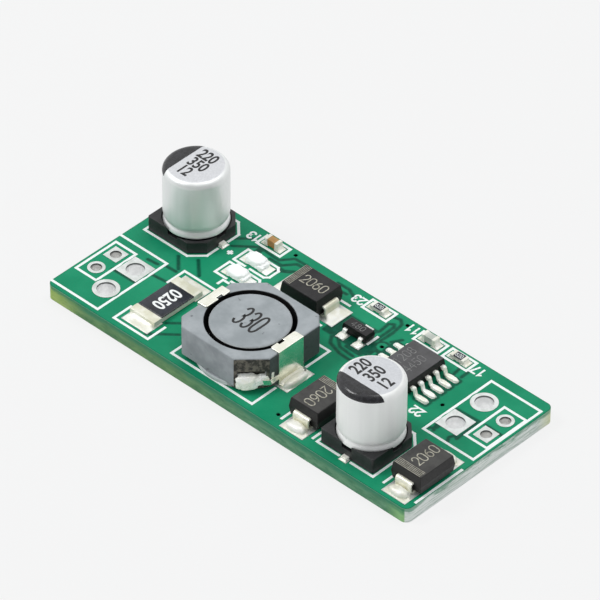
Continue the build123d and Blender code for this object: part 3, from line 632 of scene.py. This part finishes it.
looks = {
    "mask": mask_finish(),
    "laminate": laminate_finish(),
    "plating": plating_finish("plating", (253, 254, 254), 0.00016),
    # Painted shade: the header plating is a darker copy of the same tin, for the dimmer walls of the narrower
    # header holes.
    "header_plating_shaded": plating_finish("header_plating_shaded", (242, 242, 240), 0.00018),
    # Painted light: the print glows a little so that its white stays bright in shade.
    "print": grained("print", (254, 255, 254), (244, 248, 245), (0.5, 0.65), 5200.0, 0.003, spots=2600.0,
                     Emission_Color=(1, 1, 1, 1), Emission_Strength=0.07),
    # Painted light: the last number of solder and lump is a painted glow that keeps them white in shade.
    "solder": solder_finish("solder", 0.2, (254, 253, 246), (234, 232, 214), (0.32, 0.44), 0.001, 0.03),
    "tin": solder_finish("tin", 0.4, (250, 249, 236), (228, 226, 202), (0.3, 0.42)),
    "clip": solder_finish("clip", 0.93, (250, 250, 240), (240, 240, 226), (0.14, 0.22), 0.001),
    "lump": solder_finish("lump", 0.15, (255, 255, 251), (246, 245, 230), (0.24, 0.38), 0.003, 0.07),
    # Painted light: both cans are the same aluminium; the output can is a whiter, less metallic copy that
    # stands in for how brightly it is lit.
    "input_can": can_finish("input_can", 0.62, (238, 240, 239)),
    "output_can": can_finish("output_can", 0.1, (254, 254, 251)),
    "ink": grained("ink", (48, 48, 52), (18, 18, 21), (0.16, 0.3), 5200.0, 0.005, spots=3600.0),
    "base": grained("base", (34, 34, 36), (22, 22, 24), (0.42, 0.56), 2600.0, 0.012),
    "bung": grained("bung", (26, 26, 27), (18, 18, 19), (0.7, 0.85), 2600.0, 0.012),
    "ferrite": ferrite_finish("ferrite", (162, 167, 170)),
    # Painted highlight: the core is a lighter copy of the ferrite, and its pale side colour gives the flange
    # edge a bright line.
    "core": ferrite_finish("core", (216, 220, 220)),
    "winding": grained("winding", (30, 22, 20), (14, 12, 12), (0.5, 0.65), 2200.0, 0.02),
    "moulding": moulded_finish("moulding", (74, 73, 71), (58, 57, 56), (34, 33, 33)),
    "dark_moulding": moulded_finish("dark_moulding", (42, 41, 42), (30, 29, 31), (20, 19, 20)),
    "chip_moulding": moulded_finish("chip_moulding", (92, 91, 92), (78, 77, 78), (24, 23, 24)),
    "alumina": grained("alumina", (226, 224, 214), (204, 202, 192), (0.5, 0.65), 2600.0, 0.008),
    "coating": grained("coating", (36, 42, 56), (16, 20, 28), (0.14, 0.24), 2200.0, 0.003),
    "tan": grained("tan", (208, 164, 100), (176, 128, 70), (0.4, 0.55), 2600.0, 0.010),
    "pale": grained("pale", (230, 232, 224), (190, 196, 186), (0.4, 0.55), 2600.0, 0.012),
    # Painted light: the white lamp body and dome glow a little so that they read as pure white.
    "lamp": grained("lamp", (255, 255, 254), (250, 253, 250), (0.3, 0.45), 1600.0, 0.006,
                    Emission_Color=(1, 1, 1, 1), Emission_Strength=0.14),
    "laser": grained("laser", (206, 202, 186), (140, 136, 120), (0.6, 0.75), 5200.0, 0.003, spots=3600.0),
    "faint_laser": grained("faint_laser", (142, 142, 140), (104, 104, 104), (0.6, 0.75), 5200.0, 0.003,
                           spots=3600.0),
    "black_print": grained("black_print", (20, 20, 22), (8, 8, 9), (0.45, 0.6), 5200.0, 0.002),
}


# Solder mask: a thin sheet over the laminate, a touch higher over copper, open at the holes
def distance_to(x, y, path):
    """Distance from grid points to a polyline."""
    best = np.full(x.shape, 1e9)
    for (ax, ay), (bx, by) in zip(path, path[1:]):
        dx, dy = bx - ax, by - ay
        t = np.clip(((x - ax) * dx + (y - ay) * dy) / (dx * dx + dy * dy), 0, 1)
        best = np.minimum(best, np.hypot(x - ax - t * dx, y - ay - t * dy))
    return best


def box_distance(x, y, cx, cy, width, length):
    """Distance from grid points to a rectangle, less than nothing inside it."""
    qx, qy = np.abs(x - cx) - width / 2, np.abs(y - cy) - length / 2
    return np.hypot(np.maximum(qx, 0), np.maximum(qy, 0)) + np.minimum(np.maximum(qx, qy), 0)


# Lines where the copper is etched away between areas and traces, seen in the photograph as darker green
etched = [
    [(-16.52, 1.44), (-15.19, 0.08)], [(-14.79, 2.29), (-13.15, 0.72)], [(-16.34, -0.37), (-15.10, -0.33)],
    [(-16.30, -2.15), (-14.76, -1.98)], [(-18.22, -0.86), (-17.06, -0.73)], [(-19.6, -4.1), (-16.7, -4.05)],
    [(-10.88, -8.50), (-8.63, -6.49)], [(-10.64, -6.17), (-9.2, -4.8)],
    [(-14.59, 6.81), (-13.27, 8.08)],
    [(-14.0, 5.9), (-11.98, 7.6), (-10.84, 7.5), (-9.44, 7.4), (-8.5, 8.6), (-7.0, 8.64)],
    [(-10.2, 7.0), (-8.74, 7.05), (-7.83, 8.15), (-6.9, 8.2)], [(-8.9, 6.65), (-8.06, 6.63), (-6.86, 7.53)],
    [(-8.6, 6.1), (-7.5, 6.9)], [(-3.3, 8.83), (-1.87, 8.85), (-0.9, 8.4)], [(-2.9, 8.1), (-1.6, 8.2)],
    [(-0.2, 5.2), (2.0, 2.2), (3.6, 1.7), (5.2, 1.65)], [(1.7, 3.5), (3.0, 2.4), (4.75, 2.25)],
    [(3.88, 5.9), (4.14, 6.5), (4.01, 7.8), (4.44, 8.11), (4.67, 7.8), (4.72, 6.6), (4.69, 5.2)],
    [(3.5, 8.75), (4.4, 9.0), (4.95, 8.56), (5.16, 7.07), (5.1, 5.6)], [(5.9, 6.1), (6.45, 7.0)],
    [(6.4, 4.2), (5.75, 4.25), (5.1, 4.6)], [(3.5, 6.3), (3.9, 6.3)],
    [(16.45, 0.81), (16.89, -0.16)], [(16.30, -0.2), (16.85, 0.3), (16.9, 1.9)],
    [(16.45, 3.42), (19.05, 3.55)], [(19.8, 3.62), (21.7, 3.56)],
    [(18.85, -0.5), (18.5, 0.1), (18.75, 0.65), (19.15, 0.42), (19.12, 1.6), (18.95, 3.4)],
    [(13.75, 8.0), (13.78, 6.9)], [(12.87, 7.6), (13.0, 6.8)],
]
bare_areas = [(2.0, 4.7, 3.4, 2.9), (5.1, 4.1, 0.9, 1.5), (4.2, 3.2, 1.6, 0.6), (-11.7, 6.95, 0.2, 0.9)]

# The grid stops short of the board's edge, and its corners are pulled round
columns, rows = 449, 193
reach_x, reach_y, straight_x, straight_y = 22.42, 9.62, 21.8, 9.0
gx, gy = np.meshgrid(np.linspace(-reach_x, reach_x, columns), np.linspace(-reach_y, reach_y, rows))
corner_u, corner_v = np.clip(np.abs(gx) - straight_x, 0, None), np.clip(np.abs(gy) - straight_y, 0, None)
both = (corner_u > 0) & (corner_v > 0)
pull = np.where(both, np.maximum(corner_u, corner_v) / np.maximum(np.hypot(corner_u, corner_v), 1e-9), 1.0)
gx = np.where(both, np.sign(gx) * (straight_x + corner_u * pull), gx)
gy = np.where(both, np.sign(gy) * (straight_y + corner_v * pull), gy)

# Distance to the nearest bare line or area, and from it the share of copper
far_off, line_half, area_growth, fade = 1e9, 0.18, 0.25, 0.07
gap = np.full(gx.shape, far_off)
for path in etched:
    gap = np.minimum(gap, distance_to(gx, gy, path) - line_half)
for area in bare_areas:
    gap = np.minimum(gap, box_distance(gx, gy, *area) - area_growth)
ring_radius, ring_half, island_radius, island_gap = 0.66, 0.14, 0.5, 0.2
from_via = np.hypot(gx - via_points[1][0], gy - via_points[1][1])
gap = np.minimum(gap, np.abs(from_via - ring_radius) - ring_half)
gap = np.where(from_via < island_radius, island_gap, gap)
pad_row, pad_length, pad_width, moat, moat_half = 3.225, 1.2, 0.45, 0.2, 0.12
for row in lead_rows:
    for side in (-1, 1):
        from_pad = box_distance(gx, gy, chip_at[0] + side * pad_row, chip_at[1] + row, pad_length, pad_width)
        gap = np.minimum(gap, np.abs(from_pad - moat) - moat_half)
copper = np.clip((gap + fade) / (2 * fade), 0, 1)
copper = copper * copper * (3 - 2 * copper)
bare_height, copper_rise, mask_sunk = 0.004, 0.016, 0.006
height = board_top + bare_height + copper_rise * copper

# Distance from the nearest hole's edge
hole_margin, on_edge = 0.1, -0.02
opening = np.full(gx.shape, far_off)
for pads, pitch, hole in ((terminal_pads, terminal_pitch, terminal_hole),
                          (header_pads, header_pitch, header_hole)):
    for x, y, _ in pads:
        for shift in (-pitch / 2, pitch / 2):
            opening = np.minimum(opening, np.hypot(gx - x, gy - y - shift) - hole / 2 - hole_margin)
for x, y, _ in via_points:
    opening = np.minimum(opening, np.hypot(gx - x, gy - y) - via_hole / 2)


def mask_sheet():
    """Closed thin sheet from the height grid, with a wall round every opening and round the outside."""
    keep = opening > on_edge
    cells = keep[:-1, :-1] & keep[1:, :-1] & keep[:-1, 1:] & keep[1:, 1:]
    index = np.arange(gx.size).reshape(gx.shape)
    n = gx.size
    corners = np.stack([index[:-1, :-1], index[:-1, 1:], index[1:, 1:], index[1:, :-1]], -1)
    top_points = np.stack([gx, gy, height], -1).reshape(-1, 3)
    low_points = np.stack([gx, gy, np.full(gx.shape, board_top - mask_sunk)], -1).reshape(-1, 3)
    padded = np.pad(cells, 1)
    walls = []
    for (dr, dc), pick in (((-1, 0), (0, 1)), ((0, 1), (1, 2)), ((1, 0), (2, 3)), ((0, -1), (3, 0))):
        edge = cells & ~padded[1 + dr:padded.shape[0] - 1 + dr, 1 + dc:padded.shape[1] - 1 + dc]
        a, b = (corners[edge][:, p] for p in pick)
        walls.append(np.stack([a, a + n, b + n, b], -1))
    faces = np.concatenate([corners[cells]] + walls)
    used = np.unique(faces)
    renumber = np.zeros(2 * n, int)
    renumber[used] = np.arange(len(used))
    points = np.concatenate([top_points, low_points])[used] * mm
    mesh = bpy.data.meshes.new("solder_mask")
    mesh.from_pydata(points.tolist(), [], renumber[faces].tolist())
    mesh.update()
    work = bmesh.new()
    work.from_mesh(mesh)
    rims = [edge for edge in work.edges if edge.is_boundary]
    bmesh.ops.triangle_fill(work, edges=rims, use_beauty=False, normal=(0, 0, -1))
    bmesh.ops.recalc_face_normals(work, faces=work.faces)
    work.to_mesh(mesh)
    work.free()
    level = mesh.attributes.new("copper", "FLOAT", "POINT")
    level.data.foreach_set("value", np.concatenate([copper.ravel(), copper.ravel()])[used].astype(np.float32))
    finished("solder_mask", mesh, "mask", (), 40)


mask_sheet()
soften("circuit_board", "laminate")
soften("legend_print", "print")
soften("terminal_pads", "plating")
soften("header_pads", "header_plating_shaded")
soften("surface_pads", "plating")


# Aluminium capacitors
can_radius, can_top, shoulder = 3.15, 7.65, 0.66
shoulder_arc = [(can_radius - shoulder + shoulder * math.sin(t), can_top - shoulder + shoulder * math.cos(t))
                for t in [math.pi / 2 * i / 10 for i in range(11)]]
can_profile = [(r, can_top) for r in (0, 0.8, 1.6, 2.2)] + shoulder_arc
can_profile += [(can_radius, z) for z in (6.0, 4.5, 2.6)]
can_profile += [(can_radius - drop, z) for drop, z in (
    (0.01, 2.5), (0.03, 2.35), (0.06, 2.22), (0.11, 2.12), (0.17, 2.04), (0.22, 1.97),
    (0.235, 1.9), (0.21, 1.83), (0.15, 1.76), (0.09, 1.67), (0.05, 1.56), (0.02, 1.44))]
can_profile += [(can_radius - 0.005 - 0.2 * (1 - math.cos(t)), can_foot + 0.14 - 0.14 * math.sin(t))
                for t in [math.pi / 2 * i / 5 for i in range(6)]]
can_profile += [(2.86, can_foot - 0.02), (2.84, 0.9), (2.55, 0.9), (2.55, 2.1), (0, 2.1)]


def wrapped_mark():
    """Ink segment that follows the flat top and runs down over the shoulder, on the own -X side."""
    chord, across = 1.42, 41
    track = [(r, can_top) for r in (chord + 0.02, 1.8, 2.1, 2.4)] + shoulder_arc[1:10]
    outer, inner = [], []
    for k, (r, z) in enumerate(track):
        reach = math.acos(min(chord / r, 1.0))
        a, b = track[max(k - 1, 0)], track[min(k + 1, len(track) - 1)]
        d = Vector((b[0] - a[0], b[1] - a[1])).normalized()
        out = Vector((-d.y, d.x))
        for c in range(across):
            t = reach * (2 * c / (across - 1) - 1)
            for store, lift in ((outer, 0.012), (inner, -0.02)):
                rr = r + out.x * lift
                store.append((-rr * math.cos(t), rr * math.sin(t), z + out.y * lift))
    return closed_sheet(outer, inner, len(track), across)


def print_lines(name, lines, look, x, y, z, turn, size, squeeze, weight, pitch=1.4):
    """Numbers in the built-in typeface, one row below the other, from the middle of the first row."""
    depth, sunk, digit_share = 0.012, 0.003, 0.7
    parts = []
    for k, (text, shift) in enumerate(lines):
        curve = bpy.data.curves.new(name, "FONT")
        curve.body = text
        curve.size = size * mm / digit_share
        curve.align_x = "CENTER"
        curve.offset = weight * mm
        curve.extrude = depth * mm / 2
        curve.resolution_u = 6
        holder = placed(name, curve)
        bpy.context.view_layer.update()
        mesh = bpy.data.meshes.new_from_object(holder)
        bpy.data.objects.remove(holder)
        work = bmesh.new()
        work.from_mesh(mesh)
        bmesh.ops.remove_doubles(work, verts=work.verts, dist=1e-7)
        points = [Vector((v.co.x / mm * squeeze + shift, v.co.y / mm - size / 2 - k * pitch, v.co.z / mm))
                  for v in work.verts]
        faces = [[v.index for v in f.verts] for f in work.faces]
        work.free()
        parts.append(moved((points, faces), x, y, z + depth / 2 - sunk, turn))
    piece(name, parts, look, smooth=0)


for name, (x, y, turn) in can_places.items():
    piece(name + "_can", [moved(lathe(can_profile), x, y, deck, turn)], name + "_can",
          [name + "_capacitor_can"])
    piece(name + "_can_mark", [moved(wrapped_mark(), x, y, deck, turn)], "ink",
          [name + "_capacitor_polarity_mark"])
    soften(name + "_capacitor_base", "base", 0.06)
    soften(name + "_capacitor_bung", "bung")
    soften(name + "_capacitor_tabs", "lump", 0.03)
for name, x, y, turn, pitch in (("input", -18.02, 6.98, 0, 1.44), ("output", 12.2, -4.85, 90, 1.6)):
    print_lines(name + "_can_digits", [("220", 0.0), ("350", 0.12), ("12", -0.2)], "black_print", x, y,
                deck + can_top, turn, 1.26, squeeze=0.76, weight=0.045, pitch=pitch)


# Solder
def fillet(face, reach, climb, near, far, seed, hollow):
    """Wetted solder from an upright face at own +X: a hollow slope, rounded at its sides."""
    rows, columns, skin, behind = 14, 19, 0.05, 0.06
    upper, lower = [], []
    for r in range(rows):
        t = r / (rows - 1)
        x = face - behind + (reach + behind) * t
        spread = min(t * 2.2, 1.0)
        half = (near + (far - near) * spread * spread * (3 - 2 * spread)) / 2
        half *= 1 - 0.10 * t ** 10
        for c in range(columns):
            s = 2 * c / (columns - 1) - 1
            side = max(1 - abs(s) ** 7, 0.0) ** 0.5
            front = max(1 - t ** 14, 0.0) ** 0.5
            ripple = 0.008 * noise.noise(Vector((x * 2.3, s * 2.1, seed * 4.7)))
            z = (skin + ripple + climb * (1 - t) ** hollow * (1 - 0.25 * abs(s) ** 3)) * side * front
            upper.append((x, s * half, max(z, 0.002)))
            lower.append((x, s * half, -0.01))
    return closed_sheet(upper, lower, rows, columns)


def two_ends(place, *sizes, seed, hollow=2.2):
    """A fillet at each end of a part."""
    x, y, turn = place
    return [moved(fillet(*sizes, seed + k, hollow), x, y, deck, turn + 180 * k) for k in (0, 1)]


joints = []
for k, place in enumerate(diode_at.values()):
    joints += two_ends(place, 2.655, 1.16, 0.34, 1.88, 2.7, seed=k * 2, hollow=2.6)
    for side in (0, 180) if k else ():
        mound = blob((3.14, 0.0, 0.12), (1.16, 2.14, 1.0), 2.5, 0.05, k + side, -0.01, 16, 36)
        joints.append(moved(mound, *place[:2], deck, place[2] + side))
joints += two_ends((*resistor_at[:2], 90), 3.15, 1.0, 0.34, 3.05, 3.15, seed=11, hollow=3.2)
joints += two_ends(coil_at, 5.12, 1.12, 0.5, 3.2, 3.45, seed=13, hollow=3.2)
for side in (0, 180):
    mound = blob((5.78, -0.1, 0.1), (1.04, 3.0, 1.0), 2.5, 0.05, 50 + side, -0.01, 16, 40)
    joints.append(moved(mound, *coil_at[:2], deck, side))
for k, place in enumerate([*ceramic_at.values(), *film_at.values()]):
    joints += two_ends(place, 0.8, 0.42, 0.36, 0.76, 0.9, seed=17 + 2 * k)
chip_solder = []
for k, place in enumerate(lamp_at.values()):
    chip_solder += two_ends(place, 1.0, 0.72, 0.26, 1.1, 1.24, seed=27 + 2 * k)
for k, place in enumerate(can_places.values()):
    chip_solder += two_ends(place, 3.62, 0.2, 0.16, 0.6, 0.85, seed=33 + 2 * k)
for n, row in enumerate(lead_rows):
    for side, size in ((0, (1.5, 0.54, 0.46)), (180, (1.3, 0.44, 0.24))):
        lump = blob((3.16, 0, 0.04), size, 3.0, 0.08, n + side, -0.01, 12, 24)
        knee = blob((2.16, 0, 0.72), (0.58, 0.5, 0.48), 2.3, 0.1, n + side, None, 10, 20)
        chip_solder += [moved(shape, chip_at[0], chip_at[1] + row, deck, side) for shape in (lump, knee)]
for k, (px, py, depth) in enumerate(((-0.95, -1.15, 0.92), (0.95, -1.15, 0.92), (0.0, 1.0, 0.75))):
    lump = blob((px, py, 0.02), (0.94, depth, 0.32), 3.4, 0.12, 40 + k, -0.01, 12, 24)
    chip_solder.append(moved(lump, *transistor_at[:2], deck))
piece("solder_mounds", joints, "solder", ["solder_joints"], 50)
piece("lead_solder", chip_solder, "lump", smooth=50)

# Shielded coil
soften("coil_shield", "ferrite", 0.07)
soften("coil_core", "core", 0.08)
soften("coil_winding", "winding")
for side in ("right", "left"):
    soften("coil_" + side + "_terminal", "clip", 0.04)
lumps = []
for k, turn in enumerate((-45, 135)):
    for centre, size, rough in (
            ((5.36, -0.46, 1.06), (1.04, 2.0, 1.6), 0.16), ((5.3, 0.5, 1.2), (0.8, 1.1, 0.95), 0.22),
            ((5.2, 1.1, 1.42), (0.5, 1.1, 0.7), 0.2), ((4.98, 1.62, 1.6), (0.5, 0.8, 0.7), 0.15)):
        lumps.append(moved(blob(centre, size, 3.4, rough, 5 + k, None, 20, 36), *coil_at[:2], deck, turn))
piece("coil_wire_solder", lumps, "lump", ["coil_wire_ends"], 60)
face = deck + 3.75
x, y = coil_at[0] + 0.05, coil_at[1] + 0.05
reading = digits("330", 2.5, 0.68, 0.24, face - 0.01, face + 0.012, x, y, 0, 1.42)
piece("coil_digits", [reading], "black_print", smooth=0)

# Power resistor
soften("power_resistor_core", "alumina", 0.03)
soften("power_resistor_ends", "tin", 0.05)
coat_top = 0.645
coat = outline_prism(round_rect(3.1, 4.25, 0.12), 0.5, coat_top, rim=0.13, steps=5)
piece("power_resistor_overcoat", [moved(coat, *resistor_at[:2], deck)], "coating",
      ["power_resistor_coating"])
print_lines("power_resistor_digits", [("0250", 0.0)], "print", resistor_at[0] + 0.1,
            resistor_at[1] + 0.05, deck + coat_top, -90, 1.36, squeeze=0.76, weight=0.045)

# Diodes
for name, (x, y, turn) in diode_at.items():
    soften(name + "_diode_body", "dark_moulding" if name == "first" else "moulding", 0.08)
    lead = strip([(1.9, 1.1), (2.555, 1.1), (2.555, 0.1), (1.4, 0.1)], 1.92, 0.2, 0.3, 0.05)
    piece(name + "_diode_leads", [moved(lead, x, y, deck, turn + half) for half in (0, 180)], "tin",
          [name + "_diode_right_strap", name + "_diode_left_strap"])
    face = deck + 2.15
    marks = []
    for line in range(5):
        across = (-1 if name != "third" else 1) * (2.06 - 0.17 * line)
        stroke = bar([(across, -1.5), (across, 1.5)], 0.06, face - 0.004, face + 0.006)
        marks.append(moved(stroke, x, y, 0, turn))
    reading, dx, dy = {"first": (0, 0.35, 0.05), "second": (-90, 0.05, -0.35), "third": (90, -0.1, 0.4)}[name]
    marks.append(digits("2060", 1.12, 0.56, 0.11, face - 0.004, face + 0.006, x + dx, y + dy, reading, 1.33))
    piece(name + "_diode_marks", marks, "laser", smooth=0)

# Chip and transistor
soften("controller_chip_body", "chip_moulding", 0.05)
wing = strip([(1.8, 0.78), (2.28, 0.76), (2.46, 0.1), (3.0, 0.1)], 0.42, 0.19, 0.2, 0.05)
wings = [moved(wing, chip_at[0], chip_at[1] + row, deck, side) for row in lead_rows for side in (0, 180)]
piece("controller_chip_wings", wings, "lump", ["controller_chip_leads"])
face = deck + 1.5
marks = [digits(text, 0.95, 0.46, 0.08, face - 0.004, face + 0.006, x, y, 90, 1.42)
         for text, x, y in (("1208", chip_at[0] - 0.95, chip_at[1] + 0.1),
                            ("4450", chip_at[0] + 0.45, chip_at[1] - 0.1))]
piece("controller_chip_marks", marks, "faint_laser", smooth=0)
soften("transistor_body", "dark_moulding", 0.05)
wing = strip([(0.5, 0.55), (0.82, 0.55), (0.95, 0.08), (1.22, 0.08)], 0.44, 0.14, 0.16, 0.04)
wings = [moved(wing, transistor_at[0] + shift, transistor_at[1], deck, turn)
         for shift, turn in ((-0.95, -90), (0.95, -90), (0, 90))]
piece("transistor_wings", wings, "lump", ["transistor_leads"])
face = deck + 1.0
reading = digits("480", 0.62, 0.36, 0.06, face - 0.004, face + 0.005, *transistor_at[:2], 0, 1.5)
piece("transistor_marks", [reading], "faint_laser", smooth=0)

# Lamps and small chips
for k, (name, (x, y, _)) in enumerate(lamp_at.items()):
    soften(name + "_lamp_base", "lamp", 0.02)
    soften(name + "_lamp_contacts", "solder", 0.02)
    lens = [blob((x - 0.05, y, deck + 0.42), (1.85, 1.5, 0.82), 3.6, 0.16, 3 + 5 * k, deck + 0.2, 18, 36),
            blob((x - 0.85, y + 0.1, deck + 0.3), (0.9, 1.2, 0.5), 3.2, 0.3, 4 + 5 * k, deck + 0.05),
            blob((x + 0.8, y - 0.05, deck + 0.3), (0.8, 1.1, 0.5), 3.2, 0.3, 6 + 5 * k, deck + 0.05)]
    piece(name + "_lamp_dome", lens, "lamp", [name + "_lamp_lens"], 60)
for name in ceramic_at:
    soften(name + "_ceramic_capacitor_block", "tan" if name == "left" else "pale", 0.03)
    soften(name + "_ceramic_capacitor_ends", "solder", 0.04)
for name, (x, y, _) in film_at.items():
    soften(name + "_small_resistor_core", "alumina", 0.02)
    soften(name + "_small_resistor_ends", "solder", 0.03)
    soften(name + "_small_resistor_coating", "coating", 0.01)
    reading = digits("620", 0.42, 0.2, 0.05, deck + 0.45, deck + 0.462, x, y, 0, 1.4)
    piece(name + "_small_resistor_digits", [reading], "print", smooth=0)

# Place numbers on the board, read from the back edge
face = board_top + bare_height + copper_rise
marks = [digits(text, 0.95, 0.52, 0.21, face - 0.008, face + 0.014, x, y, 180, 1.36)
         for text, x, y in (("13", -13.45, 8.3), ("23", -0.25, 8.4), ("11", 6.15, 8.75), ("17", 14.35, 8.55),
                            ("22", 14.05, 0.7))]
piece("place_numbers", marks, "print", smooth=0)


# Floor, lamps and surroundings
def stage():
    mesh = bpy.data.meshes.new("floor")
    half, low = 0.6, -0.02 * mm
    corners = [(-half, -half, low), (half, -half, low), (half, half, low), (-half, half, low)]
    mesh.from_pydata(corners, [], [(0, 1, 2, 3)])
    floor = placed("floor", mesh)
    n = Finish("floor", Base_Color=(*linear(236, 236, 236), 1), Roughness=0.9)
    glow = n.tree.nodes.new("ShaderNodeEmission")
    glow.inputs["Color"].default_value = (*linear(247, 247, 247), 1)
    rays = n.tree.nodes.new("ShaderNodeLightPath")
    seen = n.math("MAXIMUM", rays.outputs["Is Camera Ray"],
                  n.math("MAXIMUM", rays.outputs["Is Glossy Ray"], rays.outputs["Is Transmission Ray"]))
    blend = n.shaders(n.times(seen, 0.88), n.shader.outputs[0], glow.outputs[0])
    n.link(blend, n.tree.nodes["Material Output"].inputs["Surface"])
    mesh.materials.append(n.made)


def surroundings():
    world = bpy.data.worlds.new("studio")
    bpy.context.scene.world = world
    world.use_nodes = True
    n = Nodes(world.node_tree)
    soft = world.node_tree.nodes["Background"]
    soft.inputs["Color"].default_value = (0.93, 0.97, 1.0, 1)
    soft.inputs["Strength"].default_value = 0.55
    seen = n.tree.nodes.new("ShaderNodeBackground")
    seen.inputs["Color"].default_value = (*linear(246, 246, 246), 1)
    rays = n.tree.nodes.new("ShaderNodeLightPath")
    side = n.against("DOT_PRODUCT", n.place("Generated"), (0.72, -0.69, 0.1))
    dim = n.ramp(side, -0.2, 0.95, 1.0, 0.34)
    mirror = n.tree.nodes.new("ShaderNodeBackground")
    mirror.inputs["Color"].default_value = (1, 1, 1, 1)
    n.link(dim, mirror.inputs["Strength"])
    bent = n.math("MAXIMUM", rays.outputs["Is Glossy Ray"], rays.outputs["Is Transmission Ray"])
    lit = n.shaders(bent, soft.outputs[0], mirror.outputs[0])
    whole = n.shaders(rays.outputs["Is Camera Ray"], lit, seen.outputs[0])
    n.link(whole, n.tree.nodes["World Output"].inputs["Surface"])


def lamp(name, toward, distance, size, power):
    light = bpy.data.lights.new(name, "AREA")
    light.shape = "DISK"
    light.size = size
    light.energy = power
    way = Vector(toward).normalized()
    turned = way.to_track_quat("Z", "Y").to_matrix().to_4x4()
    placed(name, light).matrix_world = Matrix.Translation(way * distance) @ turned


stage()
surroundings()
lamp("key", (-0.75, -0.55, 1.25), 0.45, 0.16, 0.62)
lamp("top", (0.1, 0.35, 1.0), 0.5, 0.3, 0.5)
